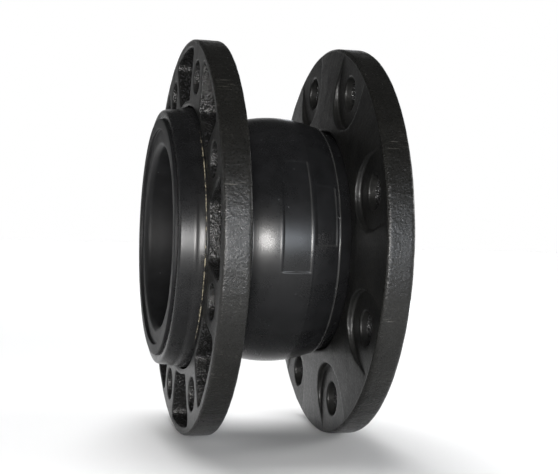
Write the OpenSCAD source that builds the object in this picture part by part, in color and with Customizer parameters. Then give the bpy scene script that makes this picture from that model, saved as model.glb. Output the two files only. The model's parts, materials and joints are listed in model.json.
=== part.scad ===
// Rubber expansion joint with one spherical arch and two loose cast flanges.
// The flow axis is X and the origin is the middle of the bore.

/* [Overall] */
// Length between the faces of the two beads, relaxed and without their sealing ridges
face_to_face = 130; // [108:1:170]
// Diameter of the flow bore
bore_d = 104; // [84:1:112]

/* [Flange] */
// Outside diameter of each flange
flange_od = 229; // [222:1:280]
// Axial thickness at the rim
rim_t = 15.5; // [13.5:0.5:22]
// Radial thickness of the rim outside the pockets
rim_wall = 4.6; // [3:0.2:8]
// Radius on both edges of the rim
rim_edge_r = 2; // [0.5:0.25:2.5]
// Radial thickness of the hub ring between the bead seat and the pockets
hub_wall = 3; // [2:0.25:4]
// Height that the inner face rises from rim to hub
hub_rise = 3.8; // [2:0.2:8]
// Radial width of the flat land at the top of the hub
hub_land = 11; // [6:0.5:14]
// Radius on the hub's inner edge
hub_edge_r = 3; // [1:0.25:5]
// Depth of the cast pockets
pocket_depth = 10.5; // [6:0.5:12]
// Corner radius of the pockets
pocket_corner_r = 4; // [2:0.25:5]
// Distance from the bead's face back to the flange face
flange_stand = 14.5; // [12:0.5:18]
// Turn of the left flange about the flow axis, degrees
left_flange_turn = -3; // [-22.5:0.5:22.5]
// Turn of the right flange about the flow axis, degrees
right_flange_turn = 6; // [-22.5:0.5:22.5]

/* [Bolting] */
// Bolt circle diameter
bolt_circle_d = 190.5; // [188:0.5:196]
// Bolt hole diameter
bolt_hole_d = 19; // [15:0.5:23]
// Number of bolt holes
bolt_count = 8; // [4:4:12]
// Metal left on each side of a hole in its spoke
boss_wall = 6; // [4:0.5:8]
// Flat seat left around a hole on the inner face
seat_margin = 11.25; // [8:0.25:13]

/* [Bead] */
// Height of the bead above the neck, at its face
bead_h = 9; // [8.5:0.5:12]
// Extra height where the bead meets the flange
bead_flare = 2; // [0:0.25:3]
// Rounding of the bead's outer edge
bead_edge_r = 1.5; // [0.5:0.25:2.5]
// Depth of the bead's seat in the flange
bead_seat_depth = 6; // [4:0.5:8]
// Radial gap around the bead in its seat
bead_seat_gap = 1; // [0.5:0.1:2]
// Height of the sealing ridge on the bead's face
seal_ridge_h = 1.6; // [0.8:0.1:2.5]
// Radial width of the sealing ridge
seal_ridge_w = 5.9; // [3:0.1:7]
// Rounding of the ridge's edges
seal_ridge_edge_r = 0.4; // [0.2:0.1:0.7]
// Distance that the liner laps over the face past the hoops
liner_lap = 0.7; // [0.5:0.1:2]
// Rounding between the bead's face and the bore
bore_edge_r = 3.5; // [1:0.25:3.75]
// Distance that each collar stops short of the flange's inner rim
collar_setback = 1; // [0.5:0.25:2]

/* [Layers] */
// Thickness of the liner tube
tube_t = 4; // [2.5:0.25:6]
// Thickness of one cord ply
ply_t = 1.75; // [1:0.25:2.25]
// Thickness of the cover
cover_t = 5; // [3:0.25:7]
// Diameter of one hoop of bead wire
wire_d = 2.4; // [1.6:0.1:2.8]
// Distance that the filler behind the hoops tapers past the bead's heel
filler_reach = 2.8; // [1:0.1:4]
// Distance that the folded plies run on past the hoops
turn_up_tail = 2; // [1:0.25:2.5]

/* [Arch] */
// Height of the crown above the neck
arch_h = 7.5; // [5:0.5:12]
// Distance that the foot of the arch lies inside the flange's hub
arch_inset = 0.8; // [0:0.1:1.5]
// Radius of the hollow fillet between neck and arch
neck_fillet_r = 8; // [4:0.5:12]
// Distance from the foot of the arch to the mould line on its shoulder
mould_line_setback = 7; // [5:0.5:12]
// Height of the mould line
mould_line_h = 0.4; // [0.2:0.1:1]
// Width of the mould line
mould_line_w = 0.6; // [0.3:0.1:1.5]

/* [Clearances] */
// Gap between a neck and its flange, all round
swivel_gap = 0.4; // [0.2:0.1:1]
// Gap between a bead's heel and its seat
heel_gap = 0.3; // [0.2:0.1:1]
// Gap between neighbouring hoops of bead wire
hoop_gap = 0.1; // [0.05:0.05:0.3]
// Gap between the bundle of hoops and the layers around it
bundle_gap = 0.3; // [0.1:0.1:0.5]

/* [Hidden] */
$fn = 96;
cut_extra = 1;
arc_steps = 6;
crown_steps = 16;
half_length = face_to_face / 2;

// Layer radii in the neck, from the bore outwards
bore_r = bore_d / 2;
tube_r = bore_r + tube_t;
inner_ply_r = tube_r + ply_t;
outer_ply_r = inner_ply_r + ply_t;
neck_r = outer_ply_r + cover_t;

// Layer depths below the outer surface of the arch
outer_ply_depth = cover_t;
inner_ply_depth = outer_ply_depth + ply_t;
tube_depth = inner_ply_depth + ply_t;
wall_depth = tube_depth + tube_t;

// The crown is one arc that spans the arch, tangent to a hollow fillet at each neck
hub_t = rim_t + hub_rise;
collar_len = flange_stand + rim_t - collar_setback;
collar_x = half_length - collar_len;
arch_half = half_length - flange_stand - hub_t + arch_inset;
crown_arc_r = (pow(arch_half, 2) + pow(arch_h, 2)) / (2 * arch_h);
crown_centre_r = neck_r + arch_h - crown_arc_r;
fillet_centre_r = neck_r + neck_fillet_r;
crown_angle = acos((fillet_centre_r - crown_centre_r) / (crown_arc_r + neck_fillet_r));
fillet_x = (crown_arc_r + neck_fillet_r) * sin(crown_angle);
mould_line_x = arch_half - mould_line_setback;
mould_line_r = crown_centre_r + sqrt(pow(crown_arc_r, 2) - pow(mould_line_x, 2));

// The bead, measured inwards from its face
bead_face_r = neck_r + bead_h;
bead_heel_r = bead_face_r + bead_flare;
heel_s = flange_stand + bead_seat_depth - heel_gap;
hoop_pitch = wire_d + hoop_gap;
bundle_r = hoop_pitch + wire_d / 2;
bundle_centre_r = outer_ply_r + bundle_gap + bundle_r;
turn_up_r = bundle_centre_r + bundle_r + bundle_gap;
turn_up_s = tube_t + 2 * ply_t;
bundle_centre_s = turn_up_s + bundle_gap + bundle_r;
filler_s = bundle_centre_s + bundle_r + bundle_gap;
filler_len = heel_s + filler_reach - filler_s;
turn_up_end_s = filler_s + turn_up_tail;
tube_face_r = turn_up_r + liner_lap;
ridge_in_r = tube_face_r - seal_ridge_w;

// The flange, measured inwards from its outer face
flange_r = flange_od / 2;
flange_bore_r = neck_r + swivel_gap;
bead_seat_r = bead_heel_r + bead_seat_gap;
pocket_in_r = bead_seat_r + hub_wall;
pocket_out_r = flange_r - rim_wall;
hub_land_r = flange_bore_r + hub_land;
bolt_step = 360 / bolt_count;
spoke_half_w = bolt_hole_d / 2 + boss_wall;
seat_r = bolt_hole_d / 2 + seat_margin;
seat_edge_chamfer = 0.8;

iron_colour = [0.16, 0.16, 0.15];
rubber_colour = [0.12, 0.12, 0.13];
liner_colour = [0.15, 0.15, 0.16];
filler_colour = [0.08, 0.08, 0.08];
inner_ply_colour = [0.66, 0.60, 0.46];
outer_ply_colour = [0.72, 0.66, 0.52];
wire_colour = [0.70, 0.70, 0.72];

function arc_points(centre, r, from, to) =
    [for (i = [0:arc_steps]) let (a = from + (to - from) * i / arc_steps) centre + r * [cos(a), sin(a)]];

function reversed(points) = [for (i = [len(points) - 1:-1:0]) points[i]];

// Outline of the left half of the arch at a depth below its surface, as radius and place along X
function arch_outline(depth) = concat(
    [[neck_r - depth, -collar_x]],
    [for (i = [0:arc_steps]) let (a = crown_angle * i / arc_steps, r = neck_fillet_r + depth)
        [fillet_centre_r - r * cos(a), -fillet_x + r * sin(a)]],
    [for (i = [1:crown_steps]) let (a = crown_angle * (1 - i / crown_steps), r = crown_arc_r - depth)
        [crown_centre_r + r * cos(a), -r * sin(a)]]
);

// Stands a shape that was drawn inwards from the face of the left bead in its place
module left_end() {
    translate([-half_length, 0, 0]) rotate([0, 90, 0]) children();
}

module right_end() {
    mirror([1, 0, 0]) left_end() children();
}

module left_arch() {
    rotate([0, 90, 0]) children();
}

module right_arch() {
    mirror([1, 0, 0]) left_arch() children();
}

// One pocket between two spokes, centred on the first axis, with rounded corners
module pocket_outline() {
    half_step = bolt_step / 2;
    clear = spoke_half_w + pocket_corner_r;
    out_a = half_step - asin(clear / (pocket_out_r - pocket_corner_r));
    in_a = half_step - asin(clear / (pocket_in_r + pocket_corner_r));
    out_c = (pocket_out_r - pocket_corner_r) * [cos(out_a), sin(out_a)];
    in_c = (pocket_in_r + pocket_corner_r) * [cos(in_a), sin(in_a)];
    side_a = half_step + 90;
    flip = [[1, 0], [0, -1]];
    upper = concat(
        arc_points([0, 0], pocket_out_r, 0, out_a),
        arc_points(out_c, pocket_corner_r, out_a, side_a),
        arc_points(in_c, pocket_corner_r, side_a, 180 + in_a),
        arc_points([0, 0], pocket_in_r, in_a, 0)
    );
    inner = [for (i = [1:len(upper) - 2]) upper[i]];
    polygon(concat(upper, [for (p = reversed(inner)) flip * p]));
}

// Flat seat for a bolt head on the inner face, open to the rim
module bolt_seat_outline() {
    translate([bolt_circle_d / 2, 0]) {
        circle(seat_r);
        translate([0, -seat_r]) square([flange_r, 2 * seat_r]);
    }
}

module flange_section() {
    rim_c = flange_r - rim_edge_r;
    polygon(concat(
        [[bead_seat_r + seat_edge_chamfer, 0]],
        arc_points([rim_c, rim_edge_r], rim_edge_r, -90, 0),
        arc_points([rim_c, rim_t - rim_edge_r], rim_edge_r, 0, 90),
        [[hub_land_r, hub_t]],
        arc_points([flange_bore_r + hub_edge_r, hub_t - hub_edge_r], hub_edge_r, 90, 180),
        [
            [flange_bore_r, bead_seat_depth],
            [bead_seat_r, bead_seat_depth],
            [bead_seat_r, seat_edge_chamfer]
        ]
    ));
}

module flange_casting() {
    color(iron_colour) translate([0, 0, flange_stand]) difference() {
        rotate_extrude() flange_section();
        for (i = [0:bolt_count - 1]) {
            rotate(i * bolt_step) translate([0, 0, -cut_extra])
                linear_extrude(pocket_depth + cut_extra) pocket_outline();
            rotate((i + 0.5) * bolt_step) {
                translate([0, 0, rim_t]) linear_extrude(hub_rise + cut_extra) bolt_seat_outline();
                translate([bolt_circle_d / 2, 0, -cut_extra])
                    cylinder(d = bolt_hole_d, h = hub_t + 2 * cut_extra);
            }
        }
    }
}

module collar() {
    color(rubber_colour) rotate_extrude() polygon(concat(
        [[tube_face_r, 0]],
        arc_points([bead_face_r - bead_edge_r, bead_edge_r], bead_edge_r, -90, 0),
        [
            [bead_heel_r, flange_stand],
            [bead_heel_r, heel_s - bead_edge_r]
        ],
        arc_points([bead_heel_r - bead_edge_r, heel_s - bead_edge_r], bead_edge_r, 0, 90),
        [
            [neck_r, heel_s],
            [neck_r, collar_len],
            [outer_ply_r, collar_len],
            [outer_ply_r, filler_s + filler_len],
            [turn_up_r, filler_s],
            [turn_up_r, turn_up_end_s],
            [turn_up_r + 2 * ply_t, turn_up_end_s],
            [turn_up_r + 2 * ply_t, tube_t],
            [tube_face_r, tube_t]
        ]
    ));
}

module tube_end() {
    ridge_edge_s = seal_ridge_edge_r - seal_ridge_h;
    color(liner_colour) rotate_extrude() polygon(concat(
        arc_points([bore_r + bore_edge_r, bore_edge_r], bore_edge_r, 180, 270),
        [[ridge_in_r, 0]],
        arc_points([ridge_in_r + seal_ridge_edge_r, ridge_edge_s], seal_ridge_edge_r, 180, 270),
        arc_points([tube_face_r - seal_ridge_edge_r, ridge_edge_s], seal_ridge_edge_r, 270, 360),
        [
            [tube_face_r, tube_t],
            [tube_r, tube_t],
            [tube_r, collar_len],
            [bore_r, collar_len]
        ]
    ));
}

// A ply that comes along the neck and is folded back round the bundle of hoops
module turn_up(leg_r, fold_s, back_r) {
    rotate_extrude() polygon([
        [leg_r, collar_len],
        [leg_r, fold_s],
        [back_r + ply_t, fold_s],
        [back_r + ply_t, turn_up_end_s],
        [back_r, turn_up_end_s],
        [back_r, fold_s + ply_t],
        [leg_r + ply_t, fold_s + ply_t],
        [leg_r + ply_t, collar_len]
    ]);
}

module inner_ply_turn_up() {
    color(inner_ply_colour) turn_up(tube_r, tube_t, turn_up_r + ply_t);
}

module outer_ply_turn_up() {
    color(outer_ply_colour) turn_up(inner_ply_r, tube_t + ply_t, turn_up_r);
}

// One hoop in the middle and six around it
module bead_wire() {
    color(wire_colour) {
        hoop(0, 0);
        for (a = [0:60:300]) hoop(hoop_pitch * cos(a), hoop_pitch * sin(a));
    }
}

module hoop(dr, ds) {
    rotate_extrude() translate([bundle_centre_r + dr, bundle_centre_s + ds]) circle(d = wire_d);
}

module bead_filler() {
    color(filler_colour) rotate_extrude() polygon([
        [outer_ply_r, filler_s],
        [turn_up_r, filler_s],
        [outer_ply_r, filler_s + filler_len]
    ]);
}

module arch_layer(from_depth, to_depth) {
    polygon(concat(arch_outline(from_depth), reversed(arch_outline(to_depth))));
}

module arch_cover() {
    color(rubber_colour) rotate_extrude() {
        arch_layer(0, outer_ply_depth);
        translate([mould_line_r - cover_t / 2, -mould_line_x - mould_line_w / 2])
            square([cover_t / 2 + mould_line_h, mould_line_w]);
    }
}

module arch_outer_ply() {
    color(outer_ply_colour) rotate_extrude() arch_layer(outer_ply_depth, inner_ply_depth);
}

module arch_inner_ply() {
    color(inner_ply_colour) rotate_extrude() arch_layer(inner_ply_depth, tube_depth);
}

module arch_tube() {
    color(liner_colour) rotate_extrude() arch_layer(tube_depth, wall_depth);
}

rotate([left_flange_turn, 0, 0]) left_end() flange_casting();  // left_flange
rotate([right_flange_turn, 0, 0]) right_end() flange_casting();  // right_flange
left_end() collar();  // left_collar
right_end() collar();  // right_collar
left_end() tube_end();  // left_tube_end
right_end() tube_end();  // right_tube_end
left_end() inner_ply_turn_up();  // left_inner_ply_turn_up
right_end() inner_ply_turn_up();  // right_inner_ply_turn_up
left_end() outer_ply_turn_up();  // left_outer_ply_turn_up
right_end() outer_ply_turn_up();  // right_outer_ply_turn_up
left_end() bead_wire();  // left_bead_wire
right_end() bead_wire();  // right_bead_wire
left_end() bead_filler();  // left_bead_filler
right_end() bead_filler();  // right_bead_filler
left_arch() arch_cover();  // left_arch_cover
right_arch() arch_cover();  // right_arch_cover
left_arch() arch_outer_ply();  // left_arch_outer_ply
right_arch() arch_outer_ply();  // right_arch_outer_ply
left_arch() arch_inner_ply();  // left_arch_inner_ply
right_arch() arch_inner_ply();  // right_arch_inner_ply
left_arch() arch_tube();  // left_arch_tube
right_arch() arch_tube();  // right_arch_tube
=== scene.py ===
"""Looks of a rubber pipe expansion joint with loose cast flanges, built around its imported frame.

The flow axis is X, +Z is up and -Y is the front. Places round the axis are angles from +Z towards -Y.
"""
import json
import math

import bmesh
import bpy
import numpy as np
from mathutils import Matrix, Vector

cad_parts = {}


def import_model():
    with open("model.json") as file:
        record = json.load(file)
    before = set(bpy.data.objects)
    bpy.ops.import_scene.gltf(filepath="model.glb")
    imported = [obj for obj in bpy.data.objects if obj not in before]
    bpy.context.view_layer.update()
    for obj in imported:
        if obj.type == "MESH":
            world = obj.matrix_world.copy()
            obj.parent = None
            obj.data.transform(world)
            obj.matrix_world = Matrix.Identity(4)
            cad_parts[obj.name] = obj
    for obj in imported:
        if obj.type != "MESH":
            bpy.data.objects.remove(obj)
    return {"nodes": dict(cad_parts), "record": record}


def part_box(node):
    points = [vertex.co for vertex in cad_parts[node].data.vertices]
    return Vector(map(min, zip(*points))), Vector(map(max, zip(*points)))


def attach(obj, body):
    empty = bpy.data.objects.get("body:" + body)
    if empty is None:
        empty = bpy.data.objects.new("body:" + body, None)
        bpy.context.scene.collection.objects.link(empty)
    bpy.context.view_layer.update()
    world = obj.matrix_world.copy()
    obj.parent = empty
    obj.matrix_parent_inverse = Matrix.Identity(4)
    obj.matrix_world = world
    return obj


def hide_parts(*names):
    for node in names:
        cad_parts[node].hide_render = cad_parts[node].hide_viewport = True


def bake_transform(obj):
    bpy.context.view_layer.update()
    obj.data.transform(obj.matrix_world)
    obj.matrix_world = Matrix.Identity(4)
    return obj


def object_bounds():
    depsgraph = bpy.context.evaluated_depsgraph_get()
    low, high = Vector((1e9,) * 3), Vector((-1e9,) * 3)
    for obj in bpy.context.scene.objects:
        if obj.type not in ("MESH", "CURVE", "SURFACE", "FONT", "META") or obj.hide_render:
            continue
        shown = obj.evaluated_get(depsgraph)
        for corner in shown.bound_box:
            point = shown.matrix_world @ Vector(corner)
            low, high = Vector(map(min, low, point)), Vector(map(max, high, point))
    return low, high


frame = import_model()
cad_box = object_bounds()

MM = 0.001
SIDES = {"left": -1, "right": 1}


def radius_of(node):
    """Outer radius of a round node."""
    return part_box(node)[1].z


def mount(name):
    """One mount of the record."""
    return next(m for m in frame["record"]["mounts"] if m["name"] == name)


# Sizes that the frame gives
BORE_R = mount("left_port")["dims"]["r_mm"] * MM
BEAD_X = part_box("right_collar")[1].x
RIDGE_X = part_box("right_tube_end")[1].x
COLLAR_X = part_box("right_arch_cover")[1].x
HEEL_R = radius_of("left_collar")
RIDGE_R = radius_of("left_tube_end")
CROWN_R = radius_of("left_arch_cover")
PLY_DEPTH = CROWN_R - radius_of("left_arch_outer_ply")
INNER_PLY_DEPTH = CROWN_R - radius_of("left_arch_inner_ply")
TUBE_DEPTH = CROWN_R - radius_of("left_arch_tube")
FLOOR_Z = cad_box[0].z
COLLAR_LEN = BEAD_X - COLLAR_X

# Arch
NECK_R = 64.5 * MM
WALL_DEPTH = NECK_R - BORE_R
ARCH_FOOT = 32 * MM
FILLET_R = 8 * MM
ARCH_H = CROWN_R - NECK_R
ARC_R = (ARCH_FOOT**2 + ARCH_H**2) / (2 * ARCH_H)
ARC_CENTRE = CROWN_R - ARC_R
FILLET_CENTRE = NECK_R + FILLET_R
CROWN_ANGLE = math.acos((FILLET_CENTRE - ARC_CENTRE) / (ARC_R + FILLET_R))
FILLET_X = (ARC_R + FILLET_R) * math.sin(CROWN_ANGLE)
SHOULDER_X = 18 * MM

# Moulded marks on the cover
MOULD_LINE_X = 25 * MM
MOULD_LINE_H = 0.75 * MM
MOULD_LINE_HALF_W = 0.9 * MM
PANEL_LINE_X = 9 * MM
PANEL_LINE_H = 0.1 * MM
PANEL_LINE_HALF_W = 0.5 * MM
MAIN_PANEL = {"x": (-8.2 * MM, 8.2 * MM), "angle": (51.5, 104.0), "depth": 0.32 * MM, "flat": 0.3 * MM}
SMALL_PANEL = {"x": (10.2 * MM, 23 * MM), "angle": (63.5, 92.0), "depth": 0.25 * MM, "flat": 0.0}
PANEL_EDGE = 0.8 * MM
PANEL_TOP_EDGE = 2.2 * MM
PANEL_LEFT_EDGE = 0.45 * MM
PALE_CREST_HALF_W = 0.6 * MM
# Painted highlight along the lower and right panel edges, the sides that catch the light
PANEL_EDGE_SHEEN = 0.5
# Vent nubs, as (millimetres along the axis, degrees round it)
VENT_NUBS = [(1.3, 44.5), (24.9, 44.6), (1.0, 113.9), (24.6, 112.4), (24.0, 78.3)]
VENT_NUB_R = 0.9 * MM
VENT_NUB_H = 0.45 * MM
SWELL_H = 0.05 * MM
SWELL_LEN = 9 * MM

# Unevenness round the axis: a mean level, and waves as (count, phase, share)
MEAN_WEAR_AND_SHEEN = 0.75
WEAR_AND_SHEEN_WAVES = [(17, 0.9, 0.15), (41, 2.0, 0.1)]
MEAN_MOULD_LINE = 0.8
MOULD_LINE_WAVES = [(7, 0.4, 0.12), (19, 1.3, 0.08)]
SWELL_WAVES = [(5, 0.2, 0.6), (11, 2.1, 0.4)]
MEAN_FLASH = 0.75
FLASH_WAVES = [(3, 0.5, 0.12), (13, 1.1, 0.1), (37, 0.3, 0.08), (71, 2.2, 0.07)]
BEAD_WAVES = [(4, 1.0, 0.5), (9, 0.2, 0.5)]
FACE_WAVES = [(5, 0.7, 0.5), (12, 1.9, 0.5)]

# Bead, measured inwards from its face
TURN_UP_R = 67.5 * MM
PLY_T = INNER_PLY_DEPTH - PLY_DEPTH
TUBE_T = WALL_DEPTH - TUBE_DEPTH
OUTER_PLY_R = NECK_R - PLY_DEPTH
FILLER_S = 15.5 * MM
FILLER_END_S = 23 * MM
TURN_UP_END_S = 17.5 * MM
HEEL_S = 20.2 * MM
BEAD_FACE_R = 73.5 * MM
BEAD_EDGE_R = 1.5 * MM
RIDGE_IN_R = 62.3 * MM
RIDGE_EDGE_R = 0.5 * MM
RIDGE_ROOT_R = 0.4 * MM
RIDGE_SKIN = 0.1 * MM
FACE_LUMPS = 0.015 * MM
BORE_EDGE_R = 3.5 * MM
FLASH_S = 13.9 * MM
FLASH_HALF_W = 0.35 * MM
FLASH_H = 0.75 * MM
# Heights where the bead's flash fin and its painted highlight fade out
FLASH_FADE_Z = (40 * MM, 62 * MM)
FLASH_STEP = 0.1 * MM
FLASH_SPAN = 0.5 * MM
FLASH_SINK = 0.1 * MM
BEAD_LUMPS = 0.03 * MM
BEAD_SKIN = 0.2 * MM
BEAD_SIDE_S = (3 * MM, 9.2 * MM)
BEAD_SIDE_STEP = 1.5 * MM
BEAD_TAPER = 0.85 / 7.8
BEAD_FLARE = [(9.6 * MM, 1.1 * MM), (11 * MM, 1.45 * MM), (12.8 * MM, 1.8 * MM)]
HEEL_START_S = 15 * MM
LIP_STEP = (0.2 * MM, 0.3 * MM)
FACE_END_R = RIDGE_IN_R - 1.5 * MM
BORE_STEP = 2 * MM
BORE_START_S = BORE_EDGE_R + 1 * MM

# Mesh steps, with angles in degrees
FINE_ANGLES = (44, 116)
FINE_STEP = 0.3
COARSE_STEP = 0.8
PLAIN_STEP = 1.0
END_STEP = 0.6
COVER_STEP = 0.4 * MM
LAYER_STEP = 1.0 * MM
ARC_POINTS = 7
SHARP_ANGLE = math.radians(40)


def fine_angles():
    """Angles all round, closer together where the cover carries its panels."""
    low, high = FINE_ANGLES
    degrees = np.concatenate([np.arange(low, high, FINE_STEP), np.arange(high, low + 360, COARSE_STEP)])
    return np.radians(degrees)


def even_angles(step):
    return np.radians(np.arange(0, 360, step))


def smooth_step(value):
    t = np.clip(value, 0, 1)
    return t * t * (3 - 2 * t)


def bump_at(distance, half_width):
    """A rounded ridge, 1 high at distance 0."""
    return smooth_step(1 - np.abs(distance) / half_width)


def waves(angles, terms):
    """A gentle unevenness round the axis: terms are (count, phase, share)."""
    return sum(share * np.sin(count * angles + phase) for count, phase, share in terms)


def arc(centre, radius, start, end):
    """Points on an arc, as (place along the axis, radius), with angles in degrees from the axis."""
    turns = np.radians(np.linspace(start, end, ARC_POINTS))
    return [(centre[0] + radius * math.cos(t), centre[1] + radius * math.sin(t)) for t in turns]


def spread(start, end, step):
    """Even places from start to end, about a step apart."""
    return np.linspace(start, end, max(2, round(abs(end - start) / step) + 1))


def link(name, data):
    """Puts data into the scene as a new object."""
    obj = bpy.data.objects.new(name, data)
    bpy.context.scene.collection.objects.link(obj)
    return obj


def lathe(name, profile, angles, relief=None, wear_and_sheen=None):
    """A closed ring: (x, radius) points swept round the flow axis.

    relief(x, radius, angles) is added outwards, and wear_and_sheen(x, radius, angles) is kept as the worn
    attribute: wear, and on the cover also a painted highlight along the panel edges.
    """
    points = np.array(profile)
    x = points[:, :1] + 0 * angles
    r = points[:, 1:] + 0 * angles
    around = angles + 0 * x
    worn = None if wear_and_sheen is None else wear_and_sheen(x, r, around)
    if relief is not None:
        r = r + relief(x, r, around)
    corners = np.stack([x, -r * np.sin(angles), r * np.cos(angles)], axis=-1).reshape(-1, 3)
    rows, columns = x.shape
    i, j = np.meshgrid(np.arange(rows), np.arange(columns), indexing="ij")
    i_next, j_next = (i + 1) % rows, (j + 1) % columns
    faces = np.stack([i, i, i_next, i_next], -1) * columns + np.stack([j, j_next, j_next, j], -1)
    mesh = bpy.data.meshes.new(name)
    mesh.from_pydata(corners.tolist(), [], faces.reshape(-1, 4).tolist())
    mesh.shade_smooth()
    mesh.set_sharp_from_angle(angle=SHARP_ANGLE)
    if worn is not None:
        mesh.attributes.new("worn", "FLOAT", "POINT").data.foreach_set("value", worn.ravel())
    return link(name, mesh)


def arch_radius(x, depth):
    """Radius of the arch at a place along the axis and a depth below its outer surface."""
    across = abs(x)
    if across >= FILLET_X:
        return NECK_R - depth
    if across > (ARC_R - depth) * math.sin(CROWN_ANGLE):
        return FILLET_CENTRE - math.sqrt((FILLET_R + depth) ** 2 - (FILLET_X - across) ** 2)
    return ARC_CENTRE + math.sqrt((ARC_R - depth) ** 2 - across**2)


def panel_insets(x, angles, panel):
    """How far a place lies inside the left, right, top and bottom edges of a panel."""
    low, high = np.radians(panel["angle"])
    along = (angles % (2 * math.pi)) * CROWN_R
    return x - panel["x"][0], panel["x"][1] - x, along - low * CROWN_R, high * CROWN_R - along


def panel_relief(x, angles, panel):
    """A shallow sunk panel, left blank. Its floor is flatter than the crown, and its top edge is soft."""
    left, right, top, bottom = panel_insets(x, angles, panel)
    sides = smooth_step(left / PANEL_LEFT_EDGE) * smooth_step(right / PANEL_EDGE)
    sunk = sides * smooth_step(bottom / PANEL_EDGE) * smooth_step(top / PANEL_TOP_EDGE)
    width = panel["x"][1] - panel["x"][0]
    crowned = 4 * (left * right) / width**2
    return -sunk * (panel["depth"] + panel["flat"] * crowned)


def cover_wear_and_sheen(x, r, angles):
    """Where the cover is pale: rubbed crests of the mould lines, and a painted highlight along the lower
    and right edges of the panels, the edges that catch the light.
    """
    patchy = MEAN_WEAR_AND_SHEEN + waves(angles, WEAR_AND_SHEEN_WAVES)
    worn = 0 * x
    for sign in SIDES.values():
        worn += bump_at(x - sign * MOULD_LINE_X, PALE_CREST_HALF_W)
    # Painted highlight: only the lower and right edges of each panel are made pale, where the light catches
    # them
    for panel in (MAIN_PANEL, SMALL_PANEL):
        left, right, top, bottom = panel_insets(x, angles, panel)
        beside = smooth_step(left / PANEL_EDGE + 1) * smooth_step(top / PANEL_TOP_EDGE)
        for across, along in ((right, bottom), (bottom, right)):
            crest = bump_at(across - PANEL_EDGE / 2, PALE_CREST_HALF_W)
            worn += PANEL_EDGE_SHEEN * beside * smooth_step(along / PANEL_EDGE + 1) * crest
    return np.clip(worn * patchy, 0, 1)


def cover_relief(x, r, angles):
    """Mould lines, blank panels and vent nubs on the outside of the cover."""
    unevenness = MEAN_MOULD_LINE + waves(angles, MOULD_LINE_WAVES)
    height = 0 * x
    for sign in SIDES.values():
        height += MOULD_LINE_H * unevenness * bump_at(x - sign * MOULD_LINE_X, MOULD_LINE_HALF_W)
        height += PANEL_LINE_H * bump_at(x - sign * PANEL_LINE_X, PANEL_LINE_HALF_W)
    for panel in (MAIN_PANEL, SMALL_PANEL):
        height += panel_relief(x, angles, panel)
    for nub_x, nub_angle in VENT_NUBS:
        away = np.hypot(x - nub_x * MM, (angles - math.radians(nub_angle)) * CROWN_R)
        height += VENT_NUB_H * bump_at(away, VENT_NUB_R)
    height += SWELL_H * waves(angles, SWELL_WAVES) * np.cos(x / SWELL_LEN)
    on_outside = r > np.vectorize(arch_radius)(x, PLY_DEPTH / 2)
    return height * on_outside


# Stretches of the arch: name, start, end, the bodies at both, and the side whose CAD layer it stands for
STRETCHES = [
    ("left_shoulder", -COLLAR_X, -SHOULDER_X, "left_collar", "left_arch", "left"),
    ("crown", -SHOULDER_X, SHOULDER_X, "left_arch", "right_arch", None),
    ("right_shoulder", SHOULDER_X, COLLAR_X, "right_arch", "right_collar", "right"),
]
# Layers of the arch: name, depths of the top and bottom, and material slot
LAYERS = [
    ("cover", 0.0, PLY_DEPTH, "cover_rubber"),
    ("outer_ply", PLY_DEPTH, INNER_PLY_DEPTH, "cord_ply"),
    ("inner_ply", INNER_PLY_DEPTH, TUBE_DEPTH, "cord_ply"),
    ("tube", TUBE_DEPTH, WALL_DEPTH, "liner_rubber"),
]


def arch_layers():
    """The four layers of the arch, each in three stretches."""
    made = []
    for layer, top, bottom, slot in LAYERS:
        is_cover = layer == "cover"
        for stretch, start, end, body_a, body_b, side in STRETCHES:
            outer = spread(start, end, COVER_STEP if is_cover else LAYER_STEP)
            inner = spread(end, start, LAYER_STEP)
            profile = [(x, arch_radius(x, top)) for x in outer]
            profile += [(x, arch_radius(x, bottom)) for x in inner]
            angles = fine_angles() if is_cover else even_angles(PLAIN_STEP)
            relief, wear_and_sheen = (cover_relief, cover_wear_and_sheen) if is_cover else (None, None)
            piece = lathe(f"{stretch}_{layer}", profile, angles, relief, wear_and_sheen)
            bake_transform(piece)
            made.append((piece, layer))
            if side:
                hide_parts(f"{side}_arch_{layer}")
    return made


def end_profile(points, side):
    """Points (depth inwards from the bead's face, radius) at one end, with the outer side running to +X."""
    sign = SIDES[side]
    placed = [(sign * (BEAD_X - s), r) for s, r in points]
    return placed if sign < 0 else placed[::-1]


def flash_relief(side):
    """The ragged fin of flash left on the bead where the mould halves met."""
    sign = SIDES[side]

    def relief(x, r, angles):
        depth = BEAD_X - sign * x
        ragged = MEAN_FLASH + waves(angles, FLASH_WAVES)
        height = np.abs(r * np.cos(angles))
        left_on = 1 - smooth_step((height - FLASH_FADE_Z[0]) / (FLASH_FADE_Z[1] - FLASH_FADE_Z[0]))
        fin = FLASH_H * left_on * ragged * bump_at(depth - FLASH_S, FLASH_HALF_W)
        lumps = BEAD_LUMPS * waves(angles, BEAD_WAVES)
        return np.where(r > BEAD_FACE_R - BEAD_SKIN, fin + lumps, 0)

    return relief


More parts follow.
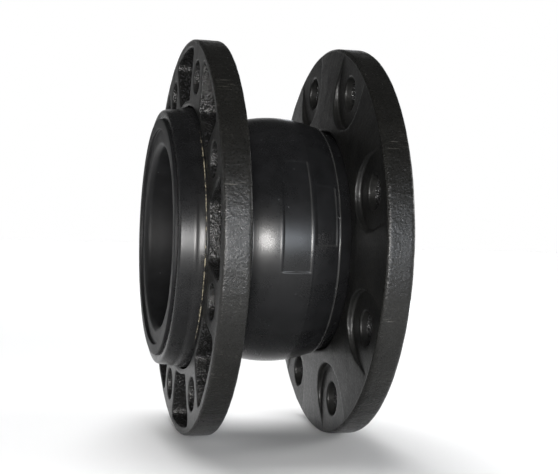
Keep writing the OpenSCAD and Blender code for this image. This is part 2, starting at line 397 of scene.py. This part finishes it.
def collar(side):
    """Bead and neck of the cover at one end."""
    edge = BEAD_EDGE_R
    outline = [(LIP_STEP[0], RIDGE_R), (0.0, RIDGE_R + LIP_STEP[1])]
    outline += arc((edge, BEAD_FACE_R - edge), edge, 180, 90)
    outline += [(s, BEAD_FACE_R + BEAD_TAPER * (s - edge)) for s in spread(*BEAD_SIDE_S, BEAD_SIDE_STEP)]
    outline += [(s, BEAD_FACE_R + rise) for s, rise in BEAD_FLARE]
    near_flash = spread(FLASH_S - FLASH_SPAN, FLASH_S + FLASH_SPAN, FLASH_STEP)
    outline += [(s, HEEL_R - FLASH_SINK) for s in near_flash]
    outline += [(HEEL_START_S, HEEL_R)]
    outline += arc((HEEL_S - edge, HEEL_R - edge), edge, 90, 0)
    outline += [
        (HEEL_S, NECK_R),
        (COLLAR_LEN, NECK_R),
        (COLLAR_LEN, OUTER_PLY_R),
        (FILLER_END_S, OUTER_PLY_R),
        (FILLER_S, TURN_UP_R),
        (TURN_UP_END_S, TURN_UP_R),
        (TURN_UP_END_S, TURN_UP_R + 2 * PLY_T),
        (TUBE_T, TURN_UP_R + 2 * PLY_T),
        (TUBE_T, RIDGE_R),
    ]
    profile = end_profile(outline, side)
    piece = lathe(f"{side}_bead_collar", profile, even_angles(END_STEP), flash_relief(side))
    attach(piece, f"{side}_collar")
    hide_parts(f"{side}_collar")
    return piece


def ridge_relief(x, r, angles):
    """Slight lumps of the moulded face, which follow the angle."""
    return FACE_LUMPS * waves(angles, FACE_WAVES) * (r < RIDGE_R - RIDGE_SKIN)


def tube_end(side):
    """Liner at one end, with the sealing ridge on its face and a rounded bore edge."""
    ridge_s = BEAD_X - RIDGE_X
    edge = RIDGE_EDGE_R
    root = RIDGE_ROOT_R
    outline = arc((ridge_s + edge, RIDGE_IN_R + edge), edge, 270, 180)
    outline += arc((ridge_s + edge, RIDGE_R - edge), edge, 180, 90)
    outline += [(TUBE_T, RIDGE_R), (TUBE_T, BORE_R + TUBE_T), (COLLAR_LEN, BORE_R + TUBE_T)]
    outline += [(s, BORE_R) for s in spread(COLLAR_LEN, BORE_START_S, BORE_STEP)]
    outline += arc((BORE_EDGE_R, BORE_R + BORE_EDGE_R), BORE_EDGE_R, 270, 180)
    outline += [(0.0, FACE_END_R)]
    outline += arc((-root, RIDGE_IN_R - root), root, 0, 90)
    profile = end_profile(outline, side)
    piece = lathe(f"{side}_liner_end", profile, even_angles(END_STEP), ridge_relief)
    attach(piece, f"{side}_collar")
    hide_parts(f"{side}_tube_end")
    return piece


# Casting
CAST_VOXEL = 0.85 * MM
CAST_SMOOTHING = 2
CAST_EDGE_SMOOTHING = 1
CAST_SMOOTH_FACTOR = 0.5
CAST_WELD = 1e-6
CAST_KEPT_FACES = 0.62
CAST_WAVE = 9 * MM
CAST_WAVE_H = 0.3 * MM


def cast_flange(side):
    """The flange with the soft edges and slight unevenness of a sand casting."""
    source = frame["nodes"][f"{side}_flange"].data.copy()
    cleaner = bmesh.new()
    cleaner.from_mesh(source)
    bmesh.ops.remove_doubles(cleaner, verts=cleaner.verts, dist=CAST_WELD)
    cleaner.to_mesh(source)
    cleaner.free()
    shaped = link(f"{side}_flange_blank", source)
    remesh = shaped.modifiers.new("skin", "REMESH")
    remesh.mode = "VOXEL"
    remesh.voxel_size = CAST_VOXEL
    smooth = shaped.modifiers.new("soften", "SMOOTH")
    smooth.factor = CAST_SMOOTH_FACTOR
    smooth.iterations = CAST_SMOOTHING
    settle = shaped.modifiers.new("settle", "SHRINKWRAP")
    settle.target = frame["nodes"][f"{side}_flange"]
    round_edges = shaped.modifiers.new("round_edges", "SMOOTH")
    round_edges.factor = CAST_SMOOTH_FACTOR
    round_edges.iterations = CAST_EDGE_SMOOTHING
    thin_out = shaped.modifiers.new("thin_out", "DECIMATE")
    thin_out.ratio = CAST_KEPT_FACES
    waviness = bpy.data.textures.new(f"{side}_sand", "CLOUDS")
    waviness.noise_scale = CAST_WAVE
    lumps = shaped.modifiers.new("lumps", "DISPLACE")
    lumps.texture = waviness
    lumps.strength = CAST_WAVE_H
    lumps.mid_level = 0.5
    evaluated = shaped.evaluated_get(bpy.context.evaluated_depsgraph_get())
    mesh = bpy.data.meshes.new_from_object(evaluated)
    bpy.data.objects.remove(shaped)
    mesh.name = f"{side}_flange_casting"
    mesh.materials.clear()
    mesh.shade_smooth()
    piece = link(f"{side}_flange_casting", mesh)
    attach(piece, f"{side}_flange")
    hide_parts(f"{side}_flange")
    return piece


# Settings that the materials share
NOISE_RANGE = (0.3, 0.7)
MIX_COLOURS = (6, 7)
MIX_RESULT = 2
SCRATCH_STRETCH = (2600, 45, 45)
SCRATCH_BREAK_SIZE = 14 * MM
SPECK_EDGE = (0.05, 0.1)


class Surface:
    """A material whose nodes are added and joined one call at a time. Patterns follow the object."""

    def __init__(self, name):
        self.material = bpy.data.materials.new(name)
        self.material.use_nodes = True
        self.tree = self.material.node_tree
        self.shader = self.tree.nodes["Principled BSDF"]
        self.place = self.add("ShaderNodeTexCoord").outputs["Object"]

    def add(self, kind, inputs=None, **settings):
        node = self.tree.nodes.new(kind)
        for key, value in settings.items():
            setattr(node, key, value)
        for key, value in (inputs or {}).items():
            self.put(node.inputs[key], value)
        return node

    def put(self, socket, value):
        if isinstance(value, bpy.types.NodeSocket):
            self.tree.links.new(value, socket)
        else:
            socket.default_value = value

    def set(self, **values):
        for key, value in values.items():
            self.put(self.shader.inputs[key.replace("_", " ")], value)

    def stretched(self, scale, turn=(0, 0, 0)):
        node = self.add("ShaderNodeMapping", {"Vector": self.place})
        node.inputs["Scale"].default_value = scale
        node.inputs["Rotation"].default_value = [math.radians(t) for t in turn]
        return node.outputs["Vector"]

    def noise(self, size, detail=3.0, roughness=0.55, place=None):
        """Noise with features of about this size in metres, or of one unit of a stretched place."""
        inputs = {
            "Vector": place or self.place,
            "Scale": 1 / size,
            "Detail": detail,
            "Roughness": roughness,
        }
        return self.add("ShaderNodeTexNoise", inputs).outputs["Fac"]

    def spots(self, size, place=None):
        inputs = {"Vector": place or self.place, "Scale": 1 / size}
        return self.add("ShaderNodeTexVoronoi", inputs).outputs["Distance"]

    def ramp(self, value, low, high, to_low=0.0, to_high=1.0):
        inputs = {"Value": value, "From Min": low, "From Max": high, "To Min": to_low, "To Max": to_high}
        return self.add("ShaderNodeMapRange", inputs, interpolation_type="SMOOTHSTEP").outputs["Result"]

    def math(self, operation, a, b=0.0):
        node = self.add("ShaderNodeMath", operation=operation)
        self.put(node.inputs[0], a)
        self.put(node.inputs[1], b)
        return node.outputs["Value"]

    def mix(self, factor, a, b):
        node = self.add("ShaderNodeMix", data_type="RGBA")
        self.put(node.inputs["Factor"], factor)
        for index, colour in zip(MIX_COLOURS, (a, b)):
            is_socket = isinstance(colour, bpy.types.NodeSocket)
            self.put(node.inputs[index], colour if is_socket else (*colour, 1.0))
        return node.outputs[MIX_RESULT]

    def bump(self, height, depth, normal=None):
        """Bump of this depth in metres where the height goes from 0 to 1."""
        inputs = {"Height": height, "Distance": depth, "Strength": 1.0}
        if normal is not None:
            inputs["Normal"] = normal
        return self.add("ShaderNodeBump", inputs).outputs["Normal"]

    def radius(self):
        """Distance from the flow axis."""
        flat = self.add("ShaderNodeVectorMath", operation="MULTIPLY")
        self.put(flat.inputs[0], self.place)
        flat.inputs[1].default_value = (0, 1, 1)
        length = self.add("ShaderNodeVectorMath", operation="LENGTH")
        self.put(length.inputs[0], flat.outputs["Vector"])
        return length.outputs["Value"]

    def from_middle(self):
        """Distance along the flow axis from the middle of the joint."""
        return self.math("ABSOLUTE", self.add("ShaderNodeSeparateXYZ", {"Vector": self.place}).outputs["X"])

    def height(self):
        """Distance above or below the flow axis."""
        return self.math("ABSOLUTE", self.add("ShaderNodeSeparateXYZ", {"Vector": self.place}).outputs["Z"])

    def within(self, value, low, high, edge):
        """1 where a distance lies between low and high, with soft edges."""
        above = self.ramp(value, low - edge, low + edge)
        return self.math("MULTIPLY", above, self.ramp(value, high - edge, high + edge, 1.0, 0.0))

    def scratches(self, turn, low, high):
        """Fine straight scratches: 1 on a scratch and 0 elsewhere."""
        lines = self.noise(1.0, 2.0, 0.5, self.stretched(SCRATCH_STRETCH, turn))
        broken = self.noise(SCRATCH_BREAK_SIZE, 2.0)
        return self.math("MULTIPLY", self.ramp(lines, low, high), self.ramp(broken, 0.42, 0.62))

    def dust(self, size, amount):
        """Stray specks: 1 on a speck and 0 elsewhere."""
        cells = self.add("ShaderNodeTexVoronoi", {"Vector": self.place, "Scale": 1 / size})
        chosen = self.add("ShaderNodeSeparateColor", {"Color": cells.outputs["Color"]}).outputs[0]
        speck = self.ramp(cells.outputs["Distance"], *SPECK_EDGE, 1.0, 0.0)
        return self.math("MULTIPLY", speck, self.ramp(chosen, 1 - amount, 1 - amount / 2))


# Rubber
RUBBER_DARK = (0.0052, 0.0053, 0.0056)
RUBBER_LIGHT = (0.008, 0.0081, 0.0086)
LINER_DARK = (0.0055, 0.0056, 0.006)
LINER_LIGHT = (0.0085, 0.0087, 0.0093)
SCUFF_COLOUR = (0.06, 0.061, 0.064)
# Pale tone for the worn mould line crests, also used as a painted highlight on the panel edges
WORN_AND_SHEEN_COLOUR = (0.05, 0.05, 0.048)
# Pale flash fin colour, used as a painted highlight where the fin catches the light
FLASH_HIGHLIGHT_COLOUR = (0.27, 0.24, 0.17)
FILLER_DARK = (0.008, 0.008, 0.008)
FILLER_LIGHT = (0.016, 0.016, 0.016)
MOTTLE_SIZE = 11 * MM
MOTTLE_BUMP = 0.03 * MM
FINE_SIZE = 0.7 * MM
FINE_BUMP = 0.012 * MM
SMEAR_SIZE = 23 * MM
DUST_SIZE = 5 * MM
HATCH_BUMP = -0.04 * MM
FIN_PATCH_SIZE = 3 * MM
FIN_EDGE = 0.1 * MM
FIN_R = (HEEL_R - 0.2 * MM, HEEL_R + 0.1 * MM)
ROUND_MARK_STRETCH = (900, 10, 10)
HATCH = [((0, 38, 20), 0.55, 0.66), ((0, -27, -35), 0.6, 0.7)]
RUBBER_MATT = 0.29
RUBBER_SHINE = 0.26
BEAD_MATT = 0.27
LINER_MATT = 0.48
LINER_SHINE = 0.16
FILLER_MATT = 0.6


def rubber(name, dark, light, matt=RUBBER_MATT, shine=RUBBER_SHINE, hatched=False):
    """Moulded black rubber: mottled and dusty, with faint marks of the mould round the axis."""
    s = Surface(name)
    mottle = s.noise(MOTTLE_SIZE, 5.0, 0.6)
    fine = s.noise(FINE_SIZE, 3.0)
    round_marks = s.noise(1.0, 3.0, 0.5, s.stretched(ROUND_MARK_STRETCH))
    colour = s.mix(s.ramp(mottle, *NOISE_RANGE), dark, light)
    colour = s.mix(s.math("MULTIPLY", s.dust(DUST_SIZE, 0.3), 0.8), colour, SCUFF_COLOUR)
    # Worn crests, and a painted highlight on the panel edges, from the worn attribute of the cover
    worn = s.add("ShaderNodeAttribute", attribute_name="worn").outputs["Fac"]
    colour = s.mix(worn, colour, WORN_AND_SHEEN_COLOUR)
    smear = s.ramp(s.noise(SMEAR_SIZE, 4.0, 0.65), 0.35, 0.7, matt - 0.02, matt + 0.04)
    roughness = s.math("ADD", smear, s.ramp(fine, *NOISE_RANGE, -0.02, 0.03))
    normal = s.bump(round_marks, FINE_BUMP)
    normal = s.bump(fine, FINE_BUMP, normal)
    normal = s.bump(mottle, MOTTLE_BUMP, normal)
    if hatched:
        hatch = s.math("MAXIMUM", *[s.scratches(*marks) for marks in HATCH])
        normal = s.bump(hatch, HATCH_BUMP, normal)
        # Painted highlight on the flash fin: pale only at mid-height, fading towards the top and bottom
        # where less light catches it
        fin_x = BEAD_X - FLASH_S
        fin = s.within(s.from_middle(), fin_x - FLASH_HALF_W, fin_x + FLASH_HALF_W, FIN_EDGE)
        fin = s.math("MULTIPLY", fin, s.ramp(s.noise(FIN_PATCH_SIZE, 3.0, 0.7), 0.46, 0.58))
        fin = s.math("MULTIPLY", fin, s.ramp(s.height(), *FLASH_FADE_Z, 1.0, 0.0))
        raised = s.ramp(s.radius(), *FIN_R)
        colour = s.mix(s.math("MULTIPLY", fin, raised), colour, FLASH_HIGHLIGHT_COLOUR)
    s.set(Base_Color=colour, Roughness=roughness, Normal=normal)
    s.set(Specular_IOR_Level=shine)
    return s.material


# Cast iron
IRON_DARK = (0.005, 0.0051, 0.005)
IRON_LIGHT = (0.010, 0.010, 0.0095)
IRON_RIM = (0.006, 0.0058, 0.005)
IRON_WORN = (0.06, 0.058, 0.05)
# Painted glints: pale sand-grain tips in the pockets
IRON_TIP_GLINTS = (0.035, 0.035, 0.037)
IRON_MARKS = (0.045, 0.043, 0.038)
IRON_SHINE = 0.3
POCKET_MASK_R = 110.6 * MM
POCKET_MASK_EDGE_R = 1 * MM
POCKET_MASK_X = (39.2 * MM, 50.1 * MM)
POCKET_MASK_EDGE_X = 0.2 * MM
RIM_MASK_R = 112.6 * MM
RIM_MASK_EDGE = 0.4 * MM
GRAIN_SIZE = 1.3 * MM
PIT_SIZE = 2.1 * MM
SPECK_SIZE = 0.5 * MM
PATCH_SIZE = 17 * MM
SAND_SIZE = 1.5 * MM
RIM_GRAIN_SIZE = 1.5 * MM
RIM_MARK_STRETCH = (70, 1300, 1300)
IRON_ROUGHNESS = (0.32, 0.44)
SPECK_ROUGHNESS = (-0.04, 0.06)
RIM_TINT = 0.6
TIP_SIZE = 1.1 * MM
MARK_PATCH_SIZE = 15 * MM
SPARSE_PIT_SIZE = 3.2 * MM
GRAIN_BUMP = 0.06 * MM
PIT_BUMP = 0.05 * MM
SPECK_BUMP = 0.025 * MM
POCKET_BUMP = 0.7 * MM
RIM_BUMP = 0.32 * MM
SPARSE_PIT_BUMP = -0.12 * MM
MARK_BUMP = -0.05 * MM
POCKET_POLISH = 0.18
RIM_POLISH = 0.08


def coated_iron():
    """Black paint over a sand casting: coarse grain in the pockets with painted glints on its tips, rubbed
    rims, pitted faces.
    """
    s = Surface("coated_cast_iron")
    grain = s.noise(GRAIN_SIZE, 4.0, 0.6)
    pits = s.spots(PIT_SIZE)
    speck = s.noise(SPECK_SIZE, 2.0)
    patches = s.noise(PATCH_SIZE, 4.0, 0.6)
    sand = s.noise(SAND_SIZE, 3.0, 0.6)
    radius = s.radius()
    in_pocket = s.within(s.from_middle(), *POCKET_MASK_X, POCKET_MASK_EDGE_X)
    inside_rim = s.ramp(radius, POCKET_MASK_R, POCKET_MASK_R + POCKET_MASK_EDGE_R, 1.0, 0.0)
    in_pocket = s.math("MULTIPLY", in_pocket, inside_rim)
    on_rim = s.ramp(radius, RIM_MASK_R - RIM_MASK_EDGE, RIM_MASK_R + RIM_MASK_EDGE)
    colour = s.mix(s.ramp(patches, *NOISE_RANGE), IRON_DARK, IRON_LIGHT)
    colour = s.mix(s.math("MULTIPLY", on_rim, RIM_TINT), colour, IRON_RIM)
    worn = s.math("MULTIPLY", s.ramp(grain, 0.6, 0.74), s.ramp(patches, 0.45, 0.65, 0.05, 0.4))
    colour = s.mix(worn, colour, IRON_WORN)
    # Painted glints: pale tips on the sand grain in the pockets, in place of the sparkle of glossy paint
    tip_glints = s.ramp(s.noise(TIP_SIZE, 2.0, 0.5), 0.5, 0.7)
    colour = s.mix(s.math("MULTIPLY", tip_glints, in_pocket), colour, IRON_TIP_GLINTS)
    marks = s.ramp(s.noise(1.0, 2.0, 0.5, s.stretched(RIM_MARK_STRETCH)), 0.6, 0.72)
    in_patches = s.ramp(s.noise(MARK_PATCH_SIZE, 2.0), 0.56, 0.68)
    marks = s.math("MULTIPLY", s.math("MULTIPLY", marks, on_rim), in_patches)
    colour = s.mix(marks, colour, IRON_MARKS)
    base = s.ramp(grain, *NOISE_RANGE, *IRON_ROUGHNESS)
    roughness = s.math("ADD", base, s.ramp(speck, *NOISE_RANGE, *SPECK_ROUGHNESS))
    roughness = s.math("SUBTRACT", roughness, s.math("MULTIPLY", in_pocket, POCKET_POLISH))
    roughness = s.math("SUBTRACT", roughness, s.math("MULTIPLY", on_rim, RIM_POLISH))
    normal = s.bump(s.ramp(pits, 0.0, 0.5), PIT_BUMP)
    normal = s.bump(grain, GRAIN_BUMP, normal)
    normal = s.bump(speck, SPECK_BUMP, normal)
    normal = s.bump(s.math("MULTIPLY", sand, in_pocket), POCKET_BUMP, normal)
    normal = s.bump(s.math("MULTIPLY", s.noise(RIM_GRAIN_SIZE, 4.0, 0.65), on_rim), RIM_BUMP, normal)
    normal = s.bump(s.dust(SPARSE_PIT_SIZE, 0.5), SPARSE_PIT_BUMP, normal)
    normal = s.bump(marks, MARK_BUMP, normal)
    s.set(Base_Color=colour, Roughness=roughness, Normal=normal)
    s.set(Specular_IOR_Level=IRON_SHINE)
    return s.material


# Cord and wire
OUTER_CORD = ((0.24, 0.19, 0.12), (0.5, 0.43, 0.3))
INNER_CORD = ((0.2, 0.16, 0.1), (0.44, 0.37, 0.25))
CORD_STRETCH = (900, 60, 60)
CORD_TURN = (0, 0, 35)
CORD_BUMP = 0.2 * MM
CORD_ROUGHNESS = (0.6, 0.85)
CORD_PATCH_SIZE = 6 * MM
FIBRE_SIZE = 0.3 * MM
FIBRE_BUMP = 0.03 * MM
WIRE_STEEL = (0.55, 0.55, 0.56)
WIRE_BRASS = (0.55, 0.47, 0.33)
WIRE_BLOOM_SIZE = 5 * MM
WIRE_STRETCH = (3000, 40, 40)
WIRE_BUMP = 0.02 * MM
WIRE_ROUGHNESS = (0.22, 0.42)


def cord_ply(name, dark, light):
    """Rubber-coated tyre cord: close parallel cords round the ply."""
    s = Surface(name)
    cords = s.noise(1.0, 1.0, 0.4, s.stretched(CORD_STRETCH, CORD_TURN))
    mottle = s.noise(CORD_PATCH_SIZE, 4.0)
    fibre = s.noise(FIBRE_SIZE, 2.0)
    colour = s.mix(s.ramp(cords, 0.35, 0.65), dark, light)
    colour = s.mix(s.ramp(mottle, 0.5, 0.75, 0.0, 0.5), colour, dark)
    normal = s.bump(cords, CORD_BUMP)
    normal = s.bump(fibre, FIBRE_BUMP, normal)
    roughness = s.ramp(fibre, *NOISE_RANGE, *CORD_ROUGHNESS)
    s.set(Base_Color=colour, Roughness=roughness, Normal=normal)
    return s.material


def drawn_wire():
    """Drawn steel wire with fine lines along it and a brassy bloom."""
    s = Surface("drawn_bead_wire")
    lines = s.noise(1.0, 2.0, 0.5, s.stretched(WIRE_STRETCH))
    bloom = s.noise(WIRE_BLOOM_SIZE, 3.0)
    colour = s.mix(s.ramp(bloom, 0.4, 0.7), WIRE_STEEL, WIRE_BRASS)
    roughness = s.ramp(lines, *NOISE_RANGE, *WIRE_ROUGHNESS)
    s.set(Base_Color=colour, Roughness=roughness, Normal=s.bump(lines, WIRE_BUMP))
    s.set(Metallic=1.0)
    return s.material


def dress(obj, material):
    """Gives an object one material."""
    obj.data.materials.clear()
    obj.data.materials.append(material)


def build_object():
    """Builds every piece and gives it its material."""
    cover = rubber("cover_rubber_black", RUBBER_DARK, RUBBER_LIGHT)
    bead = rubber("bead_rubber_black", RUBBER_DARK, RUBBER_LIGHT, BEAD_MATT, hatched=True)
    liner = rubber("liner_rubber_black", LINER_DARK, LINER_LIGHT, LINER_MATT, LINER_SHINE)
    filler = rubber("bead_filler_rubber", FILLER_DARK, FILLER_LIGHT, FILLER_MATT)
    outer_ply = cord_ply("outer_cord_ply", *OUTER_CORD)
    inner_ply = cord_ply("inner_cord_ply", *INNER_CORD)
    wire = drawn_wire()
    iron = coated_iron()
    of_layer = {"cover": cover, "outer_ply": outer_ply, "inner_ply": inner_ply, "tube": liner}
    for piece, layer in arch_layers():
        dress(piece, of_layer[layer])
    for side in SIDES:
        dress(collar(side), bead)
        dress(tube_end(side), liner)
        dress(cast_flange(side), iron)
        kept = {
            "bead_filler": filler,
            "bead_wire": wire,
            "outer_ply_turn_up": outer_ply,
            "inner_ply_turn_up": inner_ply,
        }
        for node, material in kept.items():
            dress(frame["nodes"][f"{side}_{node}"], material)


# Camera, fitted to the photograph's frame
CAMERA_PLACE = (-167.36 * MM, -670.74 * MM, 5.58 * MM)
CAMERA_TURN = (89.668, -1.564, -14.628)
CAMERA_LENS = 74.863
CAMERA_SENSOR = 36
CAMERA_CLIP = 0.01


def camera():
    data = bpy.data.cameras.new("camera")
    data.lens = CAMERA_LENS
    data.sensor_width = CAMERA_SENSOR
    data.sensor_fit = "HORIZONTAL"
    data.clip_start = CAMERA_CLIP
    obj = link("camera", data)
    obj.location = CAMERA_PLACE
    obj.rotation_euler = [math.radians(a) for a in CAMERA_TURN]
    bpy.context.scene.camera = obj


# Lamps: name, degrees from the front towards +X, degrees up, distance, size, watts, colour, grid angle
WARM = (1.0, 0.98, 0.96)
COOL = (0.84, 0.91, 1.0)
NEUTRAL = (1, 1, 1)
OPEN = 180
LAMPS = [
    ("key", -14, -0.8, 1.0, (0.17, 0.22), 1.4, WARM, 60),
    ("right_side", 90, 10, 1.4, (0.5, 0.4), 9.0, NEUTRAL, OPEN),
    ("left_side", -90, 10, 1.4, (0.5, 0.4), 2.6, NEUTRAL, OPEN),
    ("back", 150, 9, 1.4, (0.7, 0.55), 3.0, COOL, OPEN),
    ("cool_fill", 9, 1.5, 1.3, (0.45, 0.3), 6.4, COOL, OPEN),
]
OVERHEAD_STRENGTH = 2.85
OVERHEAD_ANGLE = 36
OVERHEAD_LEAN = 28


def lamp(name, azimuth, elevation, distance, size, power, colour, grid):
    """A softbox aimed at the object."""
    data = bpy.data.lights.new(name, "AREA")
    data.shape = "RECTANGLE"
    data.size, data.size_y = size
    data.energy = power
    data.color = colour
    data.spread = math.radians(grid)
    a, e = math.radians(azimuth), math.radians(elevation)
    out = Vector((math.sin(a) * math.cos(e), -math.cos(a) * math.cos(e), math.sin(e)))
    obj = link(name, data)
    obj.location = out * distance
    obj.rotation_euler = out.to_track_quat("Z", "Y").to_euler()
    obj.visible_camera = False


# Studio: angles round the room from +Y towards +X and above the horizon, and levels of light
BACKDROP_TOP = (12, 30)
BACKDROP_LEFT = (-14, 0)
BACKDROP_RIGHT = (45, 70)
DARK_CORNER = (-80, -60)
ROOM = 0.3
CORNER = 0.08
CEILING = 0.04
FLOOR_HALF = 8.0
FLOOR_COLOUR = (0.93, 0.93, 0.93, 1)
FLOOR_FADE = (0.5, 1.6)
FLOOR_FAR_GLOW = 0.2


def join(tree, kind, *wires, **settings):
    """Adds a node to a tree and wires its inputs: each wire is (input, socket or value)."""
    node = tree.nodes.new(kind)
    for key, value in settings.items():
        setattr(node, key, value)
    for place, value in wires:
        if isinstance(value, bpy.types.NodeSocket):
            tree.links.new(value, node.inputs[place])
        else:
            node.inputs[place].default_value = value
    return node


def fade(tree, value, degrees, start, end):
    """Goes smoothly from start to end as an angle in radians passes two angles in degrees."""
    low, high = (math.radians(a) for a in degrees)
    return join(tree, "ShaderNodeMapRange", ("Value", value), ("From Min", low), ("From Max", high),
                ("To Min", start), ("To Max", end), interpolation_type="SMOOTHSTEP").outputs["Result"]


def world():
    """A white backdrop behind the object, in a grey room with a dark corner and a dark ceiling."""
    made = bpy.data.worlds.new("studio")
    made.use_nodes = True
    tree = made.node_tree
    tree.nodes.clear()

    def sums(operation, a, b=0.0):
        return join(tree, "ShaderNodeMath", (0, a), (1, b), operation=operation).outputs[0]

    direction = tree.nodes.new("ShaderNodeTexCoord").outputs["Generated"]
    parts = join(tree, "ShaderNodeSeparateXYZ", ("Vector", direction)).outputs
    azimuth = sums("ARCTAN2", parts["X"], parts["Y"])
    height = sums("ARCSINE", parts["Z"])
    before = fade(tree, azimuth, DARK_CORNER, ROOM, CORNER)
    after = fade(tree, azimuth, BACKDROP_RIGHT, 1.0, ROOM)
    on_backdrop = fade(tree, azimuth, BACKDROP_LEFT, 0.0, 1.0)
    wall = sums("ADD", sums("MULTIPLY", before, sums("SUBTRACT", 1.0, on_backdrop)),
                sums("MULTIPLY", after, on_backdrop))
    level = sums("MAXIMUM", sums("MULTIPLY", wall, fade(tree, height, BACKDROP_TOP, 1.0, 0.0)), CEILING)
    light = join(tree, "ShaderNodeBackground", ("Color", (1, 1, 1, 1)), ("Strength", level))
    join(tree, "ShaderNodeOutputWorld", ("Surface", light.outputs[0]))
    bpy.context.scene.world = made


def floor():
    """A pale floor that keeps the object's shadow and melts into the backdrop far off."""
    h = FLOOR_HALF
    mesh = bpy.data.meshes.new("floor")
    corners = [(-h, -h, FLOOR_Z), (h, -h, FLOOR_Z), (h, h, FLOOR_Z), (-h, h, FLOOR_Z)]
    mesh.from_pydata(corners, [], [(0, 1, 2, 3)])
    obj = link("floor", mesh)
    s = Surface("pale_floor")
    away = s.add("ShaderNodeVectorMath", operation="LENGTH")
    s.put(away.inputs[0], s.place)
    s.set(Base_Color=FLOOR_COLOUR, Roughness=1.0, Specular_IOR_Level=0.0, Emission_Color=(1, 1, 1, 1))
    s.set(Emission_Strength=s.ramp(away.outputs["Value"], *FLOOR_FADE, 0.0, FLOOR_FAR_GLOW))
    dress(obj, s.material)


def overhead():
    """A wide soft light from above for the floor and its shadow. It leaves no glint on the object."""
    data = bpy.data.lights.new("overhead", "SUN")
    data.energy = OVERHEAD_STRENGTH
    data.angle = math.radians(OVERHEAD_ANGLE)
    obj = link("overhead", data)
    obj.rotation_euler = (math.radians(-OVERHEAD_LEAN), 0, 0)
    obj.visible_glossy = False


def studio():
    bpy.context.scene.view_settings.view_transform = "Standard"
    world()
    floor()
    overhead()
    for settings in LAMPS:
        lamp(*settings)


camera()
build_object()
studio()
